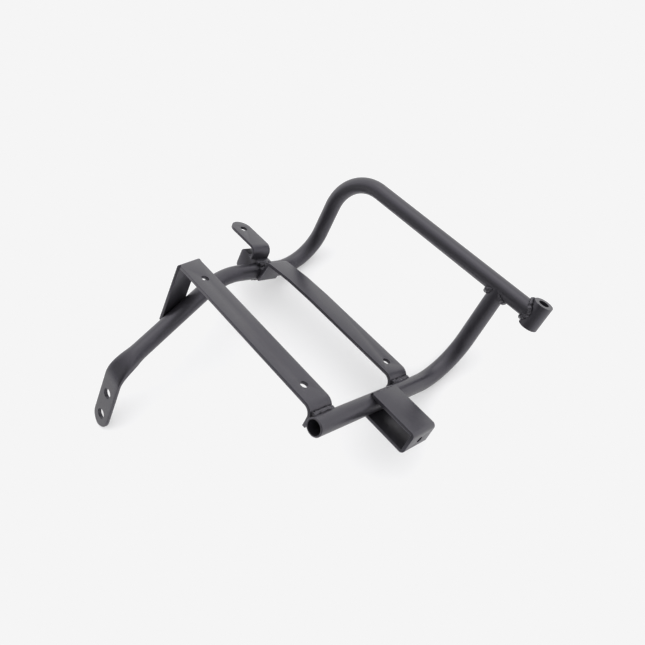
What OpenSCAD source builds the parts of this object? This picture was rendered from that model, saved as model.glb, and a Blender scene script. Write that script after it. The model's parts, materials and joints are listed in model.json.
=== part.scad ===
// Pannier frame for a motorcycle: two bent steel tubes joined by flat bars, welded and powder coated.
// Millimetres. X runs across the frame, Y along the two rails, Z is square to the plane of the bars.
// The origin is on the axis of the boss bore, at the height of the loop tube's axis.

/* [Tubes] */
// Outside diameter of both tubes
tube_d = 16; // [12:0.5:20]
// Wall of both tubes
tube_wall = 1.6; // [1:0.1:3]
// Distance between the two rails, axis to axis
rail_spacing = 197.3; // [160:0.1:260]
// Height of the loop's axis above the short rail's axis
loop_rise = 103.5; // [80:0.5:140]
// How far the long rail lies below the short rail
rail_step = 16; // [10:0.5:20]
// Bend radius of the loop, on the tube's axis
loop_bend_r = 44; // [30:1:50]
// Length of the short rail, from its open end to the loop's plane
short_rail_len = 183.5; // [170:0.5:260]
// Chamfer on the rim of the open end
rim_chamfer = 0.5; // [0.2:0.1:0.8]

/* [Leg and flattened end] */
// Where the long rail turns into the leg, as a share of the way from its bracket to the near bar
leg_share = 0.535; // [0.5:0.005:0.6]
// Length of the leg's axis, from there to the corner above the flattened end
leg_len = 125.5; // [110:0.5:150]
// Angle the leg is bent away from the rail
leg_bend = 34; // [20:1:38]
// Lean of that bend, away from straight down towards the short rail
leg_lean = 22; // [0:1:40]
// Bend radius where the rail turns into the leg
leg_bend_r = 70; // [30:1:80]
// Bend radius where the leg turns into the flattened end
tab_bend_r = 30; // [18:1:34]
// Thickness of the flattened end
tab_t = 3.4; // [3.2:0.2:6]
// Width of the flattened end
tab_w = 22.5; // [20:0.5:26]
// Length of the flattened end, from that corner to its last hole
tab_len = 59; // [50:0.5:80]
// Distance from that hole to the tip
tab_end = 13.5; // [13.5:0.5:20]
// Distance between the two bolt holes
tab_hole_pitch = 26; // [18:0.5:30]
// Diameter of the bolt holes
tab_hole_d = 10; // [5:0.1:12]

/* [Boss] */
// Distance from the short rail's axis to the boss
boss_reach = 38; // [30:0.5:60]
// Outside diameter of the boss
boss_d = 17; // [14:0.5:22]
// Bore of the boss
boss_bore_d = 9; // [5:0.1:11]
// Length of the boss
boss_len = 24; // [20:0.5:40]

/* [Flat bars] */
// Thickness of all flat bars
bar_t = 3; // [2:0.1:4]
// Width of the two cross bars
bar_w = 25; // [20:0.5:30]
// Height of the cross bars' upper face above the short rail's axis
bar_top = 8.5; // [7:0.1:10]
// Outside radius where a cross bar turns down beside the short rail
bar_curl_r = 10; // [8:0.5:14]
// Outside radius of the sharp folds
fold_r = 4; // [3.5:0.1:5]
// Diameter of the holes in the cross bars
bar_hole_d = 7; // [4:0.1:9]
// Near bar, distance of its edge from the short rail's open end
near_bar_y = 3; // [1:0.5:20]
// Near bar, its two holes measured from the short rail's axis
near_hole_a = 33; // [28:0.5:60]
near_hole_b = 169; // [140:0.5:170]
// Far bar, gap between its edge and the bend of the loop
far_bar_gap = 8; // [4:0.5:16]
// Far bar, its hole measured from the short rail's axis
far_hole = 28; // [24:0.5:60]
// Far bar, length of its downward sweep near the long rail
far_sweep = 60; // [40:1:80]
// Far bar, drop at the end of that sweep
far_drop = 4; // [2:0.2:6]
// Far bar, lean of the fold against the long rail
far_lean = 11; // [4:1:16]

/* [Brackets] */
// Width of the U bracket on the short rail
short_u_w = 32; // [25:0.5:36]
// Width of the U bracket on the long rail
long_u_w = 18; // [16:0.5:26]
// Reach of the U bracket on the short rail, from the rail's axis
short_u_reach = 46.7; // [30:0.1:60]
// Reach of the U bracket on the long rail, from the rail's axis
long_u_reach = 26.3; // [20:0.1:40]
// U bracket on the short rail, distance of its edge from the open end
short_u_y = 66.5; // [50:0.5:68]
// U bracket on the long rail, gap between its edge and the bend of the loop
long_u_gap = 14; // [4:0.5:16]
// Diameter of the hole in the end of each U bracket
u_hole_d = 6; // [4:0.1:8]
// Width of the hooked tab
hook_w = 22.5; // [20:0.5:25]
// Height of the hooked tab's upper face above the U bracket
hook_h = 13; // [12:0.5:20]
// Outside radius of the hooked tab's bend
hook_r = 8; // [6:0.5:10]
// Length of the hooked tab beyond the rail's axis, to its round end
hook_reach = 53.5; // [42:0.5:60]
// Distance of the hooked tab's foot from the rail's axis
hook_back = 5.5; // [2:0.5:8]
// How far the hooked tab stands out past the U bracket's near edge
hook_out = 4.5; // [0:0.5:6]
// Diameter of the hole in the hooked tab
hook_hole_d = 7; // [4:0.1:9]

/* [Welds] */
// Radius of the weld beads along the flat bars
bead_r = 3; // [2.6:0.1:3.4]
// Radius of the weld beads round the two tube joints
joint_bead_r = 2.6; // [2.2:0.1:3]
// Ripples along a bead that runs round a tube joint
joint_ripples = 9; // [5:1:14]

/* [Hidden] */
$fn = 64;
coat = "#3b3b3d";
tube_r = tube_d / 2;
bore_r = tube_r - tube_wall;

// Places of the rails, measured from the boss
short_x = -boss_reach;
long_x = short_x - rail_spacing;
short_z = -loop_rise;
long_z = short_z - rail_step;
open_y = -short_rail_len;

// Direction of the leg, and the corner where its axis meets the flattened end's
leg_dir = [sin(leg_bend) * sin(leg_lean), -cos(leg_bend), -sin(leg_bend) * cos(leg_lean)];
bracket_near = loop_bend_r + long_u_gap + long_u_w;
leg_start = bracket_near + leg_share * (short_rail_len - near_bar_y - bar_w - bracket_near);
leg_top = [long_x, -leg_start, long_z];
leg_foot = leg_top + leg_dir * leg_len;
leg_skew = atan2(leg_dir[0], -leg_dir[1]);
leg_fall = asin(-leg_dir[2]);

function unit(v) = v / norm(v);
function setback(angle, r) = r * tan(angle / 2);

// Round bar from a list of steps [straight length, roll, angle, bend radius]. It runs along
// local Z; roll turns the plane of the next bend, which starts out towards local X. Each
// straight laps into the bends beside it, and those are a hair thicker.
bend_lap = 0.5;
bend_swell = 0.04;
module bent_rod(steps, r, i = 0) {
    step = steps[i];
    from = i > 0 ? bend_lap : 0;
    to = step[2] > 0 ? bend_lap : 0;
    translate([0, 0, -from]) cylinder(r = r, h = step[0] + from + to);
    if (step[2] > 0) translate([0, 0, step[0]]) rotate([0, 0, step[1]])
        translate([step[3], 0, 0]) {
            rotate([90, 0, 180]) rotate_extrude(angle = step[2])
                translate([step[3], 0]) circle(r = r + bend_swell);
            rotate([0, step[2], 0]) translate([-step[3], 0, 0]) bent_rod(steps, r, i + 1);
        }
}

// The flattened end. The tube is pressed flat while it turns from the leg to straight down,
// and the pressed section turns square to the rails on the way.
down = [0, 0, -1];
tab_turn = acos(leg_dir * down);
tab_setback = tab_bend_r * tan(tab_turn / 2);
press_axis = unit(cross(leg_dir, down));
press_steps = 14;
press_points = 36;
press_lap = 1;
press_r = tube_r / cos(180 / press_points) + 0.02;
outer_shift = tube_r - tab_t / 2;
press_start = leg_foot - leg_dir * tab_setback;
press_foot = leg_foot + down * tab_setback;
tab_last_hole = leg_foot + down * tab_len + [0, -outer_shift, 0];

function smooth(t) = t * t * (3 - 2 * t);
function press_dir(t) = leg_dir * cos(tab_turn * t)
    + cross(press_axis, leg_dir) * sin(tab_turn * t);
function press_out(t) = cross(press_dir(t), press_axis);
function press_centre(t) = press_start + tab_bend_r * (press_out(t) - press_out(0));
function rounded(v, power) = sign(v) * pow(abs(v), 2 / power);

// One section: centre, direction across, direction out, half width, half thickness, power
function section(c, across, out, half_w, half_t, power) = [for (k = [0 : press_points - 1])
    let (a = 360 * k / press_points)
    c + across * half_w * rounded(cos(a), power) + out * half_t * rounded(sin(a), power)];

function press_section(t) = let (s = smooth(t), twist = leg_skew * s,
    across = press_axis * cos(twist) + press_out(t) * sin(twist),
    out = cross(press_dir(t), across))
    section(press_centre(t) + out * outer_shift * s, across, out,
        press_r + (tab_w / 2 - press_r) * s, press_r + (tab_t / 2 - press_r) * s, 2 + 5 * s);
function press_mouth() = section(press_start - leg_dir * 2 * press_lap, press_axis, press_out(0),
    press_r, press_r, 2);

// Sections of the round end, at an angle a past the last hole
function tip_section(a) = section(tab_last_hole + down * (tab_end - tab_w / 2 * (1 - sin(a))),
    [1, 0, 0], [0, -1, 0], cos(a) * tab_w / 2, tab_t / 2, 7);

// Skin over a stack of sections with the same number of points
module skin(rings) {
    n = len(rings[0]);
    last = len(rings) - 1;
    points = [for (ring = rings) each ring];
    sides = [for (i = [0 : last - 1]) for (k = [0 : n - 1])
        let (a = i * n + k, b = i * n + (k + 1) % n) each [[a, a + n, b], [b, a + n, b + n]]];
    polyhedron(points, concat(sides, [[for (k = [0 : n - 1]) k]],
        [[for (k = [n - 1 : -1 : 0]) last * n + k]]), convexity = 6);
}

module pressed_end() skin(concat([press_mouth()],
    [for (i = [0 : press_steps]) press_section(i / press_steps)],
    [for (a = [0 : 12 : 84]) tip_section(a)]));

// Bends of the two tubes, from the loop downwards. The leg's own straight end lies inside the
// flattened end's skin, and the bore stops a little before it.
function main_steps(short) = [[-long_x - loop_bend_r, 180, 90, loop_bend_r],
    [-long_z - 2 * loop_bend_r, 90, 90, loop_bend_r],
    [leg_start - loop_bend_r - setback(leg_bend, leg_bend_r), 180 + leg_lean, leg_bend, leg_bend_r],
    [leg_len - setback(leg_bend, leg_bend_r) - tab_setback - short, 0, 0, 0]];
short_steps = [[-short_z - loop_bend_r, 90, 90, loop_bend_r],
    [short_rail_len - loop_bend_r, 0, 0, 0]];

module main_rod(r, short) rotate([0, -90, 0]) bent_rod(main_steps(short), r);
module short_rod(r) translate([short_x, 0, 0]) rotate([180, 0, 0]) bent_rod(short_steps, r);

module main_tube() color(coat) difference() {
    union() {
        main_rod(tube_r, press_lap);
        pressed_end();
    }
    main_rod(bore_r, 4 * press_lap);
    boss_body();
    for (k = [0, 1]) translate(tab_last_hole + [0, 0, k * tab_hole_pitch])
        rotate([90, 0, 0]) cylinder(d = tab_hole_d, h = 4 * tab_t, center = true);
}

module short_tube() color(coat) difference() {
    short_rod(tube_r);
    short_rod(bore_r);
    loop_straight();
    translate([short_x, open_y, short_z]) rotate([-90, 0, 0]) rim_cutter();
}

// Ring that takes the outer edge off the open end
module rim_cutter() rotate_extrude()
    polygon([[tube_r - rim_chamfer, -1], [tube_r + 1, -1], [tube_r + 1, rim_chamfer + 1],
        [tube_r, rim_chamfer], [tube_r - rim_chamfer, 0]]);

// The straight stretch of the loop that the short tube meets
module loop_straight() rotate([0, -90, 0]) cylinder(r = tube_r, h = -short_x + 2 * tube_d);

module boss_body() translate([0, 0, -boss_len / 2]) cylinder(d = boss_d, h = boss_len);

module boss() color(coat) difference() {
    boss_body();
    translate([0, 0, -boss_len]) cylinder(d = boss_bore_d, h = 2 * boss_len);
}

// Flat bar folded down at both ends. It lies along X with its upper face at z = 0, and
// steps hold [length, angle, outside radius]: a straight length, then a downward bend.
module folded(steps, width, i = 0) {
    length = steps[i][0];
    angle = steps[i][1];
    r = steps[i][2];
    if (length > 0) translate([0, 0, -bar_t]) cube([length, width, bar_t]);
    if (angle > 0) translate([length, 0, -r]) {
        rotate([-90, -90, 0]) rotate_extrude(angle = angle)
            translate([r - bar_t, 0]) square([bar_t, width]);
        rotate([0, angle, 0]) translate([0, 0, r]) folded(steps, width, i + 1);
    }
}

// The same steps drawn as one outline, for a bar with bends that are not square
strip_step = 6;
function strip_up(h) = [sin(h), cos(h)];
function strip_line(steps, p, h, i = 0) = i == len(steps) ? [[p, h]]
    : let (a = steps[i][1], r = steps[i][2], q = p + steps[i][0] * [cos(h), -sin(h)],
        c = q - r * strip_up(h), n = max(1, ceil(a / strip_step)))
    concat(steps[i][0] > 0 ? [[p, h]] : [],
        [for (k = [0 : n - 1]) if (a > 0) [c + r * strip_up(h + a * k / n), h + a * k / n]],
        strip_line(steps, c + r * strip_up(h + a), h + a, i + 1));
module strip(steps, heading, width) {
    line = strip_line(steps, [0, 0], heading);
    last = len(line) - 1;
    rotate([90, 0, 180]) linear_extrude(height = width) polygon(concat([for (s = line) s[0]],
        [for (k = [last : -1 : 0]) line[k][0] - bar_t * strip_up(line[k][1])]));
}

module bolt_cut(d, at) translate(at) cylinder(d = d, h = 6 * bar_t, center = true);

bar_z = short_z + bar_top;
rail_side_x = short_x - tube_r;
curl_drop = bar_top + tube_r + 2;
curl_x = rail_side_x - bar_curl_r;

// Near bar: its far end is folded down along the leg, which runs at an angle to it
near_y = open_y + near_bar_y;
function leg_x(y) = leg_top[0] + (leg_top[1] - y) * tan(leg_skew);
function leg_z(y) = leg_top[2] - (leg_top[1] - y) * tan(leg_fall) / cos(leg_skew);
flange_gap = (tube_r + bar_t) / cos(leg_skew);
near_mid_y = near_y + bar_w / 2;
flange_half = bar_w / 2 / cos(leg_skew);

module near_bar() color(coat) difference() {
    union() {
        near_flat();
        near_flange();
    }
    for (hole = [near_hole_a, near_hole_b])
        bolt_cut(bar_hole_d, [short_x - hole, near_mid_y, bar_z]);
}

module near_flat() difference() {
    fold_back = fold_r + bar_w;
    start = leg_x(near_mid_y) - fold_back;
    translate([start, near_y, bar_z])
        folded([[curl_x - start, 90, bar_curl_r], [curl_drop - bar_curl_r, 0, 0]], bar_w);
    // everything outside the skewed fold is cut away
    near_fold_frame() translate([-2 * bar_w, -2 * bar_w, -2 * bar_w])
        cube([2 * bar_w + fold_r, 4 * bar_w, 4 * bar_w]);
}

// The flange is a hair thinner than the bar and laps into it
flange_inset = 0.02;
flange_lap = 2;

// Local X points from the flange's outer face to the bar, local Y along the fold
module near_fold_frame() translate([leg_x(near_mid_y) - flange_gap, near_mid_y, bar_z])
    rotate([0, 0, leg_skew]) children();

module near_flange() {
    low = bar_z - leg_z(near_mid_y);
    rise = tan(leg_fall) * flange_half;
    half = flange_half - flange_inset;
    t = bar_t - 2 * flange_inset;
    near_fold_frame() translate([flange_inset, 0, -flange_inset]) {
        translate([fold_r - flange_inset, half, -fold_r]) rotate([90, 0, 0])
            rotate([0, 0, 90]) rotate_extrude(angle = 90) translate([fold_r - t, 0])
                square([t, 2 * half]);
        translate([fold_r - flange_inset, 1 - half, -t]) cube([flange_lap, 2 * half - 2, t]);
        translate([-flange_inset, 0, 0]) rotate([90, 0, 90]) linear_extrude(height = t)
            polygon([[-half, -fold_r], [half, -fold_r], [half, -low + rise],
                [-half, -low - rise]]);
    }
}

// Far bar: it sweeps down towards the long rail, where it is folded down on the rail's inner side
far_y = -loop_bend_r - far_bar_gap - bar_w;
far_r = (far_sweep * far_sweep + far_drop * far_drop) / (2 * far_drop);
far_angle = 2 * atan(far_drop / far_sweep);
far_turn = 90 - far_lean;
far_fold_x = far_sweep + fold_r * (sin(far_turn) - sin(far_angle));
far_fold_z = bar_z - far_drop - fold_r * (cos(far_angle) - cos(far_turn)) - long_z;
far_start = long_x + tube_r * cos(far_lean) + far_fold_x
    + tan(far_lean) * (far_fold_z + tube_r * sin(far_lean));

module far_bar() color(coat) difference() {
    far_solid();
    bolt_cut(bar_hole_d, [short_x - far_hole, far_y + bar_w / 2, bar_z]);
}

module far_solid() translate([rail_side_x, far_y, bar_z - curl_drop])
    strip([[curl_drop - bar_curl_r, 90, bar_curl_r], [curl_x - far_start, far_angle, far_r],
        [0, far_turn - far_angle, fold_r], [(far_fold_z + tube_r / 2) / cos(far_lean), 0, 0]],
        -90, bar_w);

// U bracket: upper leaf, end plate and lower leaf, with a hole in the end plate
module u_bracket(reach, width, leaf_start) {
    height = tube_d + 2 * bar_t;
    leaf = reach - leaf_start - fold_r;
    difference() {
        translate([leaf_start, 0, height / 2])
            folded([[leaf, 90, fold_r], [height - 2 * fold_r, 90, fold_r], [leaf, 0, 0]], width);
        translate([reach, width / 2, 0]) rotate([0, 90, 0])
            cylinder(d = u_hole_d, h = 4 * bar_t, center = true);
    }
}

u_leaf_start = -1;
module short_u_place() translate([short_x, open_y + short_u_y, short_z]) children();
long_u_end = -loop_bend_r - long_u_gap;
module long_u_place() translate([long_x, long_u_end, long_z]) rotate([0, 0, 180]) children();
module short_u_bracket() color(coat) short_u_place()
    u_bracket(short_u_reach, short_u_w, u_leaf_start);

// The one on the long rail is closed on its near side by a cheek, cut to fit the tube
module long_u_bracket() color(coat) long_u_place() {
    u_bracket(long_u_reach, long_u_w, u_leaf_start);
    difference() {
        translate([tube_r / 2, long_u_w - bar_t, -tube_r - bar_t / 3])
            cube([long_u_reach - tube_r / 2 - bar_t * 2 / 3, bar_t, tube_d + bar_t * 2 / 3]);
        translate([0, long_u_w - 2 * bar_t, 0]) rotate([-90, 0, 0]) cylinder(r = tube_r, h = 3 * bar_t);
    }
}

// Hooked tab: it stands on the U bracket, over the long rail, and ends round
hook_x = long_x - hook_back;
hook_y = long_u_end - long_u_w - hook_out;
hook_z = long_z + tube_r + bar_t;
module hooked_tab() color(coat) difference() {
    straight = hook_reach - hook_back - hook_r - hook_w / 2;
    union() {
        translate([hook_x - hook_r - straight, hook_y, hook_z + hook_h])
            folded([[straight, 90, hook_r], [hook_h - hook_r, 0, 0]], hook_w);
        translate([hook_x - hook_r - straight, hook_y + hook_w / 2, hook_z + hook_h - bar_t])
            cylinder(d = hook_w, h = bar_t);
    }
    bolt_cut(hook_hole_d, [hook_x - hook_r - straight + 2, hook_y + hook_w / 2,
        hook_z + hook_h]);
}

// Weld beads. Each one is a bead laid in a corner, less the pieces it joins.

// Closed skin over a ring of sections
module closed_skin(rings) {
    n = len(rings[0]);
    all = n * len(rings);
    points = [for (ring = rings) each ring];
    polyhedron(points, [for (i = [0 : len(rings) - 1]) for (k = [0 : n - 1])
        let (a = i * n + k, b = i * n + (k + 1) % n, c = (a + n) % all, d = (b + n) % all)
        each [[a, c, b], [b, c, d]]], convexity = 6);
}

bead_steps = 48;
bead_points = 10;
function bead_ring(c, side, up, r) = [for (k = [0 : bead_points - 1])
    c + side * r * cos(360 * k / bead_points) + up * r * sin(360 * k / bead_points)];
function ripple(a) = 0.22 * (1 - abs(sin(a * joint_ripples))) + 0.08 * sin(5 * a + 40);

// Seam where the short tube meets the loop: a saddle, welded in its two corners
function saddle(a) = [tube_r * cos(a), tube_r * sin(a), -abs(tube_r * cos(a))];
saddle_span = 64;
function saddle_ring(a, mid) = let (out = [cos(a), sin(a), 0],
    along = unit(saddle(a + 1) - saddle(a - 1)), up = unit(cross(out, along)),
    off = (a - mid) / saddle_span,
    r = joint_bead_r * (1.05 - 0.65 * off * off + ripple(a)) * sqrt(1.02 - off * off * off * off))
    bead_ring(saddle(a) + out * 0.4, out, up, r);
module saddle_weld(mid) color(coat) difference() {
    translate([short_x, 0, 0]) skin([for (i = [0 : bead_steps / 2])
        saddle_ring(mid + saddle_span * (4 * i / bead_steps - 1), mid)]);
    loop_straight();
    translate([short_x, 0, -4 * tube_r]) cylinder(r = tube_r, h = 4 * tube_r);
}
module weld_loop_inner() saddle_weld(180);
module weld_loop_outer() saddle_weld(0);

// Seam where the loop's end meets the boss
function boss_seam(a) = let (y = tube_r * cos(a))
    [-sqrt(boss_d * boss_d / 4 - y * y), y, tube_r * sin(a)];
function boss_ring(a) = let (out = [0, cos(a), sin(a)],
    along = unit(boss_seam(a + 1) - boss_seam(a - 1)), side = unit(cross(along, out)),
    r = joint_bead_r * (0.8 + 0.2 * sin(a) * sin(a) + ripple(a + 70)))
    bead_ring(boss_seam(a) + out * 0.4 + [-0.4, 0, 0], out, side, r);
module weld_boss() color(coat) difference() {
    closed_skin([for (i = [0 : bead_steps - 1]) boss_ring(360 * i / bead_steps)]);
    loop_straight();
    boss_body();
}

// Straight bead along Y, at a point
module bead(at, r, length) translate(at) rotate([-90, 0, 0]) cylinder(r = r, h = length);
bead_trim = 1;

// Valley between the curl of a cross bar and the short rail
module curl_weld(y, length) color(coat) difference() {
    bead([rail_side_x, y, short_z + tube_r / 2], bead_r, length);
    translate([short_x, y - 1, short_z]) rotate([-90, 0, 0]) cylinder(r = tube_r, h = length + 2);
    translate([curl_x, y - 1, bar_z - bar_curl_r]) rotate([-90, 0, 0])
        cylinder(r = bar_curl_r, h = length + 2);
}
module weld_near_bar_rail() curl_weld(near_y + bead_trim, bar_w - 2 * bead_trim);
module weld_far_bar_short() curl_weld(far_y + bead_trim, bar_w - 2 * bead_trim);

// Under the near bar's flange, along the outer side of the leg
module weld_near_bar_leg() color(coat) difference() {
    near_fold_frame() translate([bar_t - 0.6, 0, leg_z(near_mid_y) - bar_z])
        rotate([leg_pitch, 0, 0]) rotate([90, 0, 0])
            translate([0, -bead_r * 0.3, 2 - flange_half])
                cylinder(r = bead_r * 0.8, h = 2 * flange_half - 4);
    near_flange();
    main_rod(tube_r, 0);
}
leg_pitch = leg_fall;

// Above the far bar's flange, on the crown of the long rail
module weld_far_bar_long() color(coat) difference() {
    bead([long_x + tube_r * 0.95, far_y + bead_trim, long_z + tube_r * 0.7], bead_r,
        bar_w - 2 * bead_trim);
    translate([long_x, far_y - 1, long_z]) rotate([-90, 0, 0])
        cylinder(r = tube_r, h = bar_w + 2);
    far_solid();
}

// Inner end of a U bracket's leaf, on the crown of its rail; side is 1 above and -1 below
module u_weld(width, side) difference() {
    bead([u_leaf_start - bead_r * 0.3, 2 * bead_trim, side * (tube_r + bead_r * 0.2)],
        bead_r * 0.75, width - 4 * bead_trim);
    translate([0, -1, 0]) rotate([-90, 0, 0]) cylinder(r = tube_r, h = width + 2);
    translate([u_leaf_start, -1, side * (tube_r + bar_t / 2) - bar_t / 2 - (side + 1) / 2])
        cube([bead_r + 1, width + 2, bar_t + 1]);
}
module weld_short_u_top() color(coat) short_u_place() u_weld(short_u_w, 1);
module weld_short_u_bottom() color(coat) short_u_place() u_weld(short_u_w, -1);
module weld_long_u_top() color(coat) long_u_place() u_weld(long_u_w, 1);
module weld_long_u_bottom() color(coat) long_u_place() u_weld(long_u_w, -1);

// Foot of the hooked tab, behind it on the U bracket
module weld_hooked_tab() color(coat) difference() {
    bead([hook_x - bar_t - 0.8, hook_y + bead_trim, hook_z + 0.8], bead_r * 0.75,
        hook_w - 2 * bead_trim);
    translate([hook_x - bar_t, hook_y - 1, hook_z]) cube([bar_t, hook_w + 2, hook_h]);
    translate([hook_x - bar_w, hook_y - 1, hook_z - bar_t]) cube([2 * bar_w, hook_w + 2, bar_t]);
}

main_tube();
short_tube();
boss();
near_bar();
far_bar();
short_u_bracket();
long_u_bracket();
hooked_tab();
weld_loop_inner();
weld_loop_outer();
weld_boss();
weld_near_bar_rail();
weld_near_bar_leg();
weld_far_bar_short();
weld_far_bar_long();
weld_short_u_top();
weld_short_u_bottom();
weld_long_u_top();
weld_long_u_bottom();
weld_hooked_tab();
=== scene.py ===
# Side frame for a motorcycle's pannier: welded tube, flat bars and brackets in black powder coat.
import json
import math

import bpy
from mathutils import Euler, Matrix, Vector

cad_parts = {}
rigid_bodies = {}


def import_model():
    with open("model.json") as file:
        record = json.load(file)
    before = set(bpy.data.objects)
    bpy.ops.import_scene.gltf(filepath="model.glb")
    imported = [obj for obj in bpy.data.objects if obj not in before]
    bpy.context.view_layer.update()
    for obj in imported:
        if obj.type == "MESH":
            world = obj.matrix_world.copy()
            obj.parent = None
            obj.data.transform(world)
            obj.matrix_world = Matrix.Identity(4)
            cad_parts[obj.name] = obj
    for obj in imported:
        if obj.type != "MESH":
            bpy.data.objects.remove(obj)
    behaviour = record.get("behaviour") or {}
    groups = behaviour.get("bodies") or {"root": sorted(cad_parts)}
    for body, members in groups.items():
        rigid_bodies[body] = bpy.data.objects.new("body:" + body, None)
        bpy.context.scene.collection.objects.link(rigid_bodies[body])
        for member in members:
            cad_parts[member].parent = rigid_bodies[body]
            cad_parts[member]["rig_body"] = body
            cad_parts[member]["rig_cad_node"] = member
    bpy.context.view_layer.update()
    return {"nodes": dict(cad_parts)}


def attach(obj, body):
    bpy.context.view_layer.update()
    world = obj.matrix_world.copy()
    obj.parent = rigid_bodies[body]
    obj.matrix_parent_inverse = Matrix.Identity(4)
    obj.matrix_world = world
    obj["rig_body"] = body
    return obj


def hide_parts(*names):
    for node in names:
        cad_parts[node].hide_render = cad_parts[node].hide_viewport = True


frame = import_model()
nodes = frame["nodes"]
print("frame loaded:", len(nodes), "nodes")

coat = {
    "colour": (0.0265, 0.0252, 0.0308),
    "shade": (0.0165, 0.0157, 0.0197),
    "shadeUpTo": 0.30,       # tones of the noise below which it is all shade,
    "colourFrom": 0.72,      # and above which it is all colour
    "grainShare": 0.60,      # share of the change in tone that comes from the grain
    "driftScale": 38.0,      # slow changes of tone in a metre
    "driftDetail": 4.0,
    "driftRoughness": 0.6,
    "grainSize": 0.0011,     # metres between the grains of the powder coat
    "grainDetail": 2.0,
    "peelSize": 0.004,       # metres between the waves of its surface
    "peelDetail": 3.0,
    "roughness": 0.38,
    "smoother": 0.14,        # how far the roughness goes down and up between the grains
    "rougher": 0.16,
    "grainDepth": 0.00010,
    "grainBump": 0.6,
    "peelDepth": 0.00006,
    "peelBump": 0.5,
    "sheen": 0.84,
    "sheenTint": (0.975, 0.955, 1.0, 1.0),
}
beading = {                  # the fine ripples on a weld, on top of its lumps
    "scale": 110.0,
    "distortion": 3.0,
    "detail": 1.0,
    "depth": 0.0004,
    "bump": 0.7,
}


def addNode(tree, kind, **values):
    # a new shader node; each value goes to the socket or the setting of that name
    node = tree.nodes.new(kind)
    for name, value in values.items():
        if name in node.inputs:
            node.inputs[name].default_value = value
        else:
            setattr(node, name, value)
    return node


def noise(tree, spot, scale, detail):
    texture = addNode(tree, "ShaderNodeTexNoise", Scale=scale, Detail=detail)
    tree.links.new(spot, texture.inputs["Vector"])
    return texture


def coatTone(tree, grain, drift, lift):
    # from shade to colour, by the grain and by a slow drift
    tone = addNode(tree, "ShaderNodeValToRGB")
    dark, light = tone.color_ramp.elements
    dark.position, light.position = coat["shadeUpTo"], coat["colourFrom"]
    dark.color = [c * lift for c in coat["shade"]] + [1.0]
    light.color = [c * lift for c in coat["colour"]] + [1.0]
    blend = addNode(tree, "ShaderNodeMath", operation="MULTIPLY_ADD")
    blend.inputs[1].default_value = coat["grainShare"]
    soften = addNode(tree, "ShaderNodeMath", operation="MULTIPLY")
    soften.inputs[1].default_value = 1.0 - coat["grainShare"]
    tree.links.new(grain.outputs["Fac"], blend.inputs[0])
    tree.links.new(drift.outputs["Fac"], soften.inputs[0])
    tree.links.new(soften.outputs[0], blend.inputs[2])
    tree.links.new(blend.outputs[0], tone.inputs["Fac"])
    return tone.outputs["Color"]


def coatGloss(tree, grain):
    # each grain is a little smoother or rougher than the next
    gloss = addNode(tree, "ShaderNodeMapRange")
    gloss.inputs["To Min"].default_value = coat["roughness"] - coat["smoother"]
    gloss.inputs["To Max"].default_value = coat["roughness"] + coat["rougher"]
    tree.links.new(grain.outputs["Fac"], gloss.inputs["Value"])
    return gloss.outputs["Result"]


def raised(tree, height, strength, depth, below=None):
    # a bump on top of the one below it
    bump = addNode(tree, "ShaderNodeBump", Strength=strength, Distance=depth)
    tree.links.new(height, bump.inputs["Height"])
    if below:
        tree.links.new(below, bump.inputs["Normal"])
    return bump.outputs["Normal"]


def powderCoat(name, lift=1.0, beaded=False):
    # fine grain over soft waves; lift makes the whole coat lighter or darker
    mat = bpy.data.materials.new(name)
    mat.use_nodes = True
    tree = mat.node_tree
    shader = tree.nodes["Principled BSDF"]
    spot = addNode(tree, "ShaderNodeTexCoord").outputs["Object"]

    drift = noise(tree, spot, coat["driftScale"], coat["driftDetail"])
    drift.inputs["Roughness"].default_value = coat["driftRoughness"]
    grain = noise(tree, spot, 1.0 / coat["grainSize"], coat["grainDetail"])
    peel = noise(tree, spot, 1.0 / coat["peelSize"], coat["peelDetail"])

    surface = raised(tree, grain.outputs["Fac"], coat["grainBump"], coat["grainDepth"])
    surface = raised(tree, peel.outputs["Fac"], coat["peelBump"], coat["peelDepth"], surface)
    if beaded:
        ripples = addNode(tree, "ShaderNodeTexWave", Scale=beading["scale"], Detail=beading["detail"])
        ripples.inputs["Distortion"].default_value = beading["distortion"]
        tree.links.new(spot, ripples.inputs["Vector"])
        surface = raised(tree, ripples.outputs["Fac"], beading["bump"], beading["depth"], surface)

    tree.links.new(coatTone(tree, grain, drift, lift), shader.inputs["Base Color"])
    tree.links.new(coatGloss(tree, grain), shader.inputs["Roughness"])
    tree.links.new(surface, shader.inputs["Normal"])
    shader.inputs["Specular IOR Level"].default_value = coat["sheen"]
    shader.inputs["Specular Tint"].default_value = coat["sheenTint"]
    return mat


def only(obj):
    bpy.ops.object.select_all(action="DESELECT")
    obj.select_set(True)
    bpy.context.view_layer.objects.active = obj


def paint(obj, mat):
    obj.data.materials.clear()
    obj.data.materials.append(mat)


mergeWithin = 0.000004       # metres


def standIn(name, mat):
    # a merged copy of a node, which then stands for the node
    piece = nodes[name].copy()
    piece.data = nodes[name].data.copy()
    for mark in ("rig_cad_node", "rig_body"):    # the copy is a piece of its own
        if mark in piece:
            del piece[mark]
    piece.parent = None
    piece.name = name + "Finished"
    bpy.context.scene.collection.objects.link(piece)
    only(piece)
    paint(piece, mat)
    bpy.ops.object.mode_set(mode="EDIT")
    bpy.ops.mesh.select_all(action="SELECT")
    bpy.ops.mesh.remove_doubles(threshold=mergeWithin)
    bpy.ops.object.mode_set(mode="OBJECT")
    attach(piece, "root")
    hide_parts(name)
    return piece


# The tubes and the boss keep their own shape
tubes = {
    "names": ("main_tube", "short_tube", "boss"),
    "smoothUpTo": 28,        # degrees
}

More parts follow.
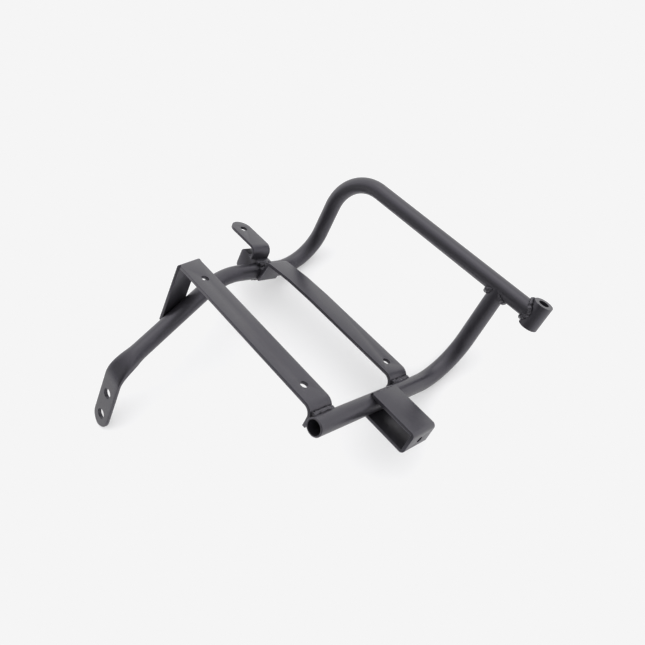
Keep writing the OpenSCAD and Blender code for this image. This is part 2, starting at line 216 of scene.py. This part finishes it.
tubeCoat = powderCoat("tubeCoat")
for name in tubes["names"]:
    paint(nodes[name], tubeCoat)
    only(nodes[name])
    bpy.ops.object.shade_smooth_by_angle(angle=math.radians(tubes["smoothUpTo"]))
print("tubes coated:", len(tubes["names"]))


# The welds are laid by hand: rounded, uneven, sunk a little into their corners
welds = {
    "lift": 0.95,            # how light the coat is here, with the tubes at 1
    "skin": 0.0004,         # metres between the points of a bead's skin
    "lumpSize": 0.0040,
    "lumpDetail": 1,
    "lumps": {               # height of the lumps, and the tone of the noise that stays in place
        "weld_loop_inner": (0.0022, 0.15),
        "weld_loop_outer": (0.0022, 0.22),
        "weld_boss": (0.0022, 0.66),
        "weld_near_bar_rail": (0.0020, 0.60),
        "weld_near_bar_leg": (0.0014, 0.55),
        "weld_far_bar_short": (0.0020, 0.60),
        "weld_far_bar_long": (0.0022, 0.30),
        "weld_long_u_top": (0.0018, 0.15),
        "weld_hooked_tab": (0.0016, 0.50),
    },
    "fewLumps": (0.0008, 0.60),    # the other beads of the U brackets hardly show
    "sunk": {                # metres down into the corner, and below zero up into it
        "weld_near_bar_rail": 0.0010,
        "weld_far_bar_short": 0.0010,
        "weld_short_u_top": 0.0007,
        "weld_short_u_bottom": -0.0007,
        "weld_long_u_bottom": -0.0007,
    },
}


def welded(name, mat):
    piece = standIn(name, mat)
    even = piece.modifiers.new("evenSkin", "REMESH")
    even.mode = "VOXEL"
    even.voxel_size = welds["skin"]
    bpy.ops.object.modifier_apply(modifier=even.name)
    lumps = bpy.data.textures.new(name + "Lumps", "CLOUDS")
    lumps.noise_scale = welds["lumpSize"]
    lumps.noise_depth = welds["lumpDetail"]
    uneven = piece.modifiers.new("lumps", "DISPLACE")
    uneven.texture = lumps
    uneven.texture_coords = "LOCAL"
    uneven.strength, uneven.mid_level = welds["lumps"].get(name, welds["fewLumps"])
    bpy.ops.object.modifier_apply(modifier=uneven.name)
    bpy.ops.object.shade_smooth()
    if name in welds["sunk"]:
        bpy.ops.object.mode_set(mode="EDIT")
        bpy.ops.mesh.select_all(action="SELECT")
        bpy.ops.transform.translate(value=(0.0, 0.0, -welds["sunk"][name]))
        bpy.ops.object.mode_set(mode="OBJECT")


weldCoat = powderCoat("weldCoat", lift=welds["lift"], beaded=True)
weldNames = [name for name in nodes if name.startswith("weld_")]
for name in weldNames:
    welded(name, weldCoat)
print("welds laid:", len(weldNames))


# The flat pieces get the eased edges of cut and coated strip
bars = {
    "names": ("near_bar", "far_bar", "short_u_bracket", "long_u_bracket", "hooked_tab"),
    "lift": 1.06,            # how light the coat is here, with the tubes at 1
    "edge": 0.00035,         # metres
    "edgeSteps": 3,
    "flatUpTo": 0.5,         # degrees between faces that lie in one plane,
    "edgeFrom": 35,          # between faces that meet in an edge,
    "smoothUpTo": 30,        # and between faces that are shaded as one
}


def dressed(name, mat):
    piece = standIn(name, mat)
    bpy.ops.object.mode_set(mode="EDIT")
    bpy.ops.mesh.select_all(action="SELECT")
    bpy.ops.mesh.dissolve_limited(angle_limit=math.radians(bars["flatUpTo"]))
    bpy.ops.object.mode_set(mode="OBJECT")
    eased = piece.modifiers.new("easedEdge", "BEVEL")
    eased.width = bars["edge"]
    eased.segments = bars["edgeSteps"]
    eased.limit_method = "ANGLE"
    eased.angle_limit = math.radians(bars["edgeFrom"])
    bpy.ops.object.modifier_apply(modifier=eased.name)
    bpy.ops.object.shade_smooth_by_angle(angle=math.radians(bars["smoothUpTo"]))


barCoat = powderCoat("barCoat", lift=bars["lift"])
for name in bars["names"]:
    dressed(name, barCoat)
print("bars and brackets dressed:", len(bars["names"]))


# The frame lies on the tip of its flattened end and on the lower bends of both tubes
floorPaper = {
    "up": (-0.0673, -0.5509, 0.8319),    # square to the plane through those three points
    "gap": 0.0002,           # metres below the lowest point
    "radius": 3.0,
    "sides": 96,
    "tone": (0.65, 0.65, 0.65, 1.0),
    "roughness": 0.9,
    "sheen": 0.1,
    "glow": 0.28,            # the paper is lit from below as well, which softens the shadows
    "glowTone": (1.0, 1.0, 1.0, 1.0),
}


def paperMaterial():
    # pale paper, seen from above only
    paper = bpy.data.materials.new("floorPaper")
    paper.use_nodes = True
    tree = paper.node_tree
    shader = tree.nodes["Principled BSDF"]
    shader.inputs["Base Color"].default_value = floorPaper["tone"]
    shader.inputs["Roughness"].default_value = floorPaper["roughness"]
    shader.inputs["Emission Color"].default_value = floorPaper["glowTone"]
    shader.inputs["Emission Strength"].default_value = floorPaper["glow"]
    shader.inputs["Specular IOR Level"].default_value = floorPaper["sheen"]
    side = addNode(tree, "ShaderNodeNewGeometry")
    clear = addNode(tree, "ShaderNodeBsdfTransparent")
    oneSided = addNode(tree, "ShaderNodeMixShader")
    tree.links.new(side.outputs["Backfacing"], oneSided.inputs["Fac"])
    tree.links.new(shader.outputs["BSDF"], oneSided.inputs[1])
    tree.links.new(clear.outputs["BSDF"], oneSided.inputs[2])
    tree.links.new(oneSided.outputs["Shader"], tree.nodes["Material Output"].inputs["Surface"])
    return paper


floorUp = Vector(floorPaper["up"]).normalized()
floorDrop = min(floorUp.dot(v.co) for node in nodes.values() for v in node.data.vertices)
bpy.ops.mesh.primitive_circle_add(
    vertices=floorPaper["sides"], radius=floorPaper["radius"], fill_type="NGON"
)
floor = bpy.context.active_object
floor.name = "studioFloor"
floor.rotation_mode = "QUATERNION"
floor.rotation_quaternion = floorUp.to_track_quat("Z", "Y")
floor.location = floorUp * (floorDrop - floorPaper["gap"])
floor.data.materials.append(paperMaterial())
print("floor laid")


# The photo's tones: deep blacks, and a white that stops short of the brightest
tones = {
    "black": (0.0, 0.0),
    "white": (1.0, 0.913),
    "between": ((0.035, 0.024), (0.075, 0.058), (0.14, 0.143), (0.5, 0.51), (0.93, 0.913)),
}

viewing = bpy.context.scene.view_settings
viewing.view_transform = "Standard"
viewing.use_curve_mapping = True
viewing.curve_mapping.extend = "HORIZONTAL"
curve = viewing.curve_mapping.curves[3]    # the one for all three colours
curve.points[0].location = tones["black"]
curve.points[1].location = tones["white"]
for darker, lighter in tones["between"]:
    curve.points.new(darker, lighter)
for point in curve.points:
    point.handle_type = "VECTOR"
viewing.curve_mapping.update()


# The studio is pale all round; only what the coat's sheen mirrors has a dark side
studio = {
    "paleTone": (0.97, 0.97, 0.98, 1.0),
    "darkTone": (0.02, 0.02, 0.02, 1.0),
    "darkSide": (0.44, -0.75, -0.48),    # along the floor, towards the side the photo is taken from
    "darkFrom": 0.05,        # cosines from that direction at which the dark begins,
    "darkTo": 0.85,          # and at which it is complete
    "strength": 1.27,
}

world = bpy.data.worlds.new("studioWorld")
bpy.context.scene.world = world
world.use_nodes = True
tree = world.node_tree
way = addNode(tree, "ShaderNodeTexCoord")
along = addNode(tree, "ShaderNodeVectorMath", operation="DOT_PRODUCT")
along.inputs[1].default_value = Vector(studio["darkSide"]).normalized()
fade = addNode(tree, "ShaderNodeMapRange", interpolation_type="SMOOTHSTEP")
fade.inputs["From Min"].default_value = studio["darkFrom"]
fade.inputs["From Max"].default_value = studio["darkTo"]
tree.links.new(way.outputs["Generated"], along.inputs[0])
tree.links.new(along.outputs["Value"], fade.inputs["Value"])
mirrored = addNode(tree, "ShaderNodeMix", data_type="RGBA")    # sockets 6 and 7 are its colours
mirrored.inputs[6].default_value = studio["paleTone"]
mirrored.inputs[7].default_value = studio["darkTone"]
tree.links.new(fade.outputs["Result"], mirrored.inputs[0])
path = addNode(tree, "ShaderNodeLightPath")
seen = addNode(tree, "ShaderNodeMix", data_type="RGBA")
seen.inputs[6].default_value = studio["paleTone"]
tree.links.new(path.outputs["Is Glossy Ray"], seen.inputs[0])
tree.links.new(mirrored.outputs[2], seen.inputs[7])
sky = tree.nodes["Background"]
sky.inputs["Strength"].default_value = studio["strength"]
tree.links.new(seen.outputs[2], sky.inputs["Color"])


# One large soft lamp above
lamp = {
    "aim": (-0.115, -0.10, -0.10),
    "towards": (-0.35, -0.25, 0.95),
    "distance": 4.0,
    "size": 3.0,
    "power": 14.0,
}

lampWay = Vector(lamp["towards"]).normalized()
bpy.ops.object.light_add(type="AREA", location=Vector(lamp["aim"]) + lampWay * lamp["distance"])
softBox = bpy.context.active_object
softBox.name = "topBox"
softBox.data.shape = "DISK"
softBox.data.size = lamp["size"]
softBox.data.energy = lamp["power"]
softBox.rotation_mode = "QUATERNION"
softBox.rotation_quaternion = lampWay.to_track_quat("Z", "Y")
print("studio lit")


# The camera stands where the photo was taken
camera = {
    "at": (0.1152, -0.5039, 0.1924),
    "turn": (55.863, -23.429, 45.525),    # degrees about X, Y and Z
    "focal": 620.0,          # in pixels of the photo,
    "frame": 645.0,          # which is this many pixels wide
    "sensor": 36.0,          # millimetres
    "clip": (0.02, 20.0),
}

bpy.ops.object.camera_add()
cam = bpy.context.active_object
cam.name = "photoCamera"
cam.data.sensor_width = camera["sensor"]
cam.data.lens = camera["sensor"] * camera["focal"] / camera["frame"]
cam.data.clip_start, cam.data.clip_end = camera["clip"]
camTurn = Euler([math.radians(angle) for angle in camera["turn"]])
cam.matrix_world = Matrix.LocRotScale(Vector(camera["at"]), camTurn, None)
bpy.context.scene.camera = cam
print("camera set")
